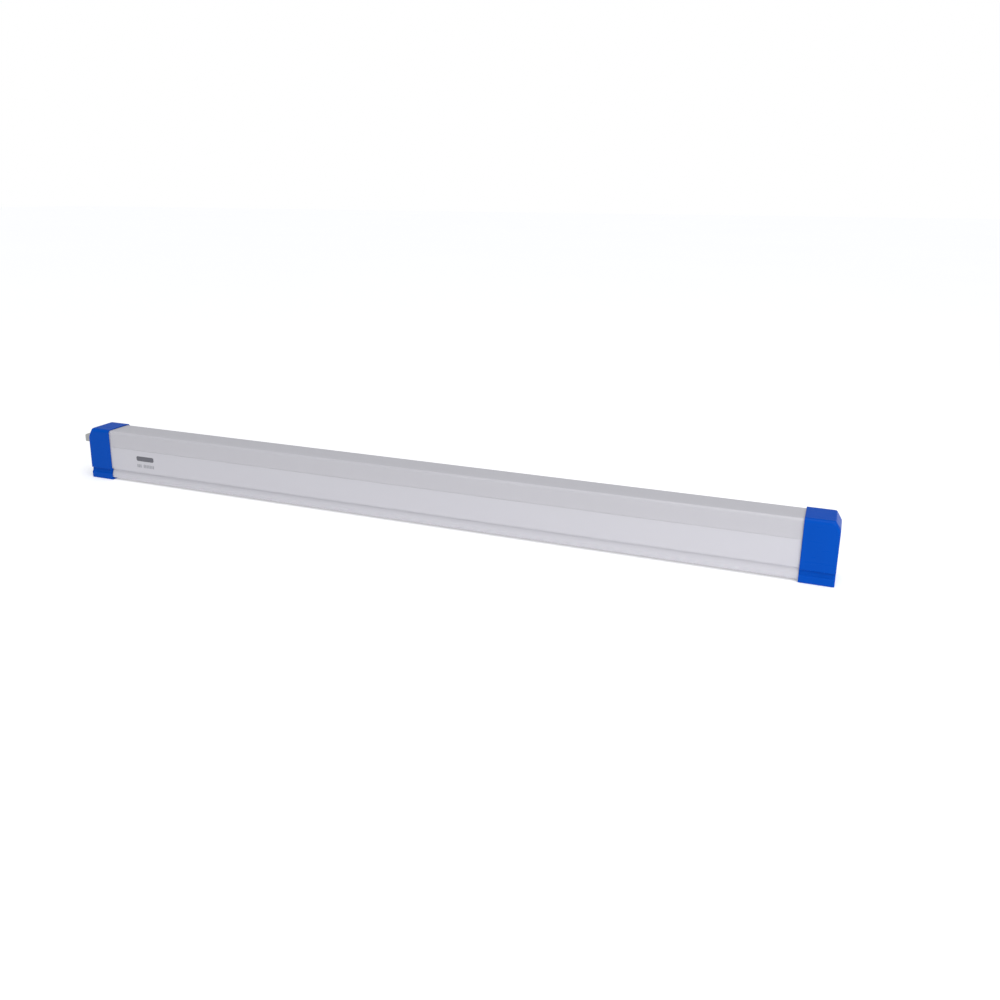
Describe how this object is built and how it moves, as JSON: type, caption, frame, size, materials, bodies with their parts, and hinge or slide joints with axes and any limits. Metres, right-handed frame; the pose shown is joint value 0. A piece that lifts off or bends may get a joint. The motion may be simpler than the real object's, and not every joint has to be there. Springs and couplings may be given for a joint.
{
  "type": "linkable led light tube",
  "caption": "Straight rectangular light tube: white housing with clip grooves, milky flat-topped diffuser, blue sleeve caps at both ends, plug inlet at one end and socket outlet at the other.",
  "frame": {"origin": "centre of the housing's flat underside, halfway between the outer faces of the two end caps", "axes": "+X along the lamp from the plug end to the socket end, +Z out of the diffuser's flat top, -Y the front side; the caps' feet reach 1.8 mm below the origin"},
  "size_m": [0.61, 0.0272, 0.0437],
  "materials": {
    "housing_white": "white extruded polycarbonate, satin",
    "diffuser_milky": "opal milky polycarbonate, satin, lets light through",
    "cap_blue": "moulded blue plastic, semi-gloss",
    "connector_grey": "light grey moulded nylon",
    "pin_brass": "drawn brass",
    "screw_steel": "zinc-plated steel",
    "led_board_white": "aluminium-core board with white solder mask",
    "driver_board_green": "glass-epoxy board with green solder mask",
    "tray_clear": "thin natural insulating plastic",
    "resistor_green": "lacquered fusible resistor",
    "varistor_blue": "dipped epoxy coating",
    "chip_black": "moulded black epoxy",
    "film_red": "dipped red epoxy coating",
    "winding_copper": "enamelled copper winding on a ferrite drum",
    "sleeve_black": "shrunk plastic sleeve over an aluminium can",
    "ferrite_grey": "sintered ferrite",
    "tape_yellow": "polyester winding tape",
    "wire_brown": "PVC insulation",
    "wire_blue": "PVC insulation",
    "wire_red": "PVC insulation",
    "wire_black": "PVC insulation"
  },
  "bodies": {
    "root": {"housing": "housing_white", "diffuser": "diffuser_milky", "end_cap_left": "cap_blue", "end_cap_right": "cap_blue", "cap_screw_left_front": "screw_steel", "cap_screw_left_back": "screw_steel", "cap_screw_right_front": "screw_steel", "cap_screw_right_back": "screw_steel", "inlet_plug": "connector_grey", "inlet_pin_live": "pin_brass", "inlet_pin_neutral": "pin_brass", "outlet_socket": "connector_grey", "outlet_contact_live": "pin_brass", "outlet_contact_neutral": "pin_brass", "led_board": "led_board_white", "driver_tray": "tray_clear", "driver_board": "driver_board_green", "fuse_resistor": "resistor_green", "varistor": "varistor_blue", "bridge_rectifier": "chip_black", "film_capacitor": "film_red", "filter_choke": "winding_copper", "input_capacitor": "sleeve_black", "driver_chip": "chip_black", "output_diode": "chip_black", "inductor_core": "ferrite_grey", "inductor_coil": "tape_yellow", "output_capacitor": "sleeve_black", "supply_wire_live": "wire_brown", "supply_wire_neutral": "wire_blue", "through_wire_live": "wire_brown", "through_wire_neutral": "wire_blue", "led_wire_positive": "wire_red", "led_wire_negative": "wire_black"}
  },
  "joints": []
}
